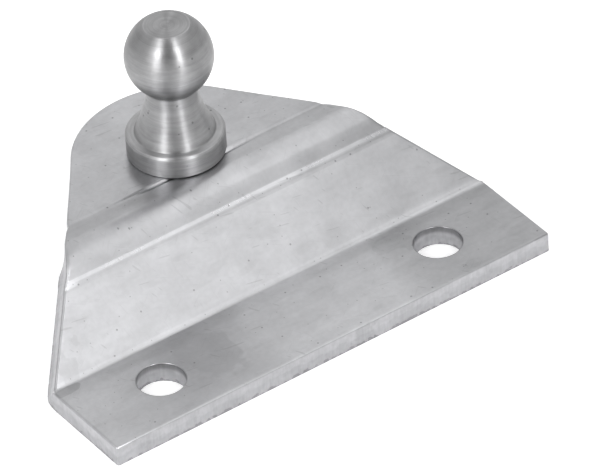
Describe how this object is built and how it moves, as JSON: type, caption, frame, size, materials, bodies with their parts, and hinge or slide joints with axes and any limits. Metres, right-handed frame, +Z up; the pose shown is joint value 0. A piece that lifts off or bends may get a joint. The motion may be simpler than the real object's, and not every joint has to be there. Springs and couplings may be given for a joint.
{
  "type": "gas-spring ball bracket",
  "caption": "Offset plate bracket: a flange with screw holes steps up through a sloping web to a raised rounded pad that carries an upright ball stud for a gas spring.",
  "frame": {"origin": "midway between the two screw holes, on the flange's underside, which lies on the mounting surface", "axes": "+X along the line of the screw holes, +Y from the flange towards the ball, +Z up from the mounting surface along the ball stud's axis"},
  "size_m": [0.0584, 0.041, 0.0287],
  "materials": {
    "stainless_sheet": "mill finish, tumbled",
    "turned_stainless": "as turned, with fine rings"
  },
  "bodies": {
    "root": {"mounting_plate": "stainless_sheet", "ball_stud": "turned_stainless"}
  },
  "joints": []
}
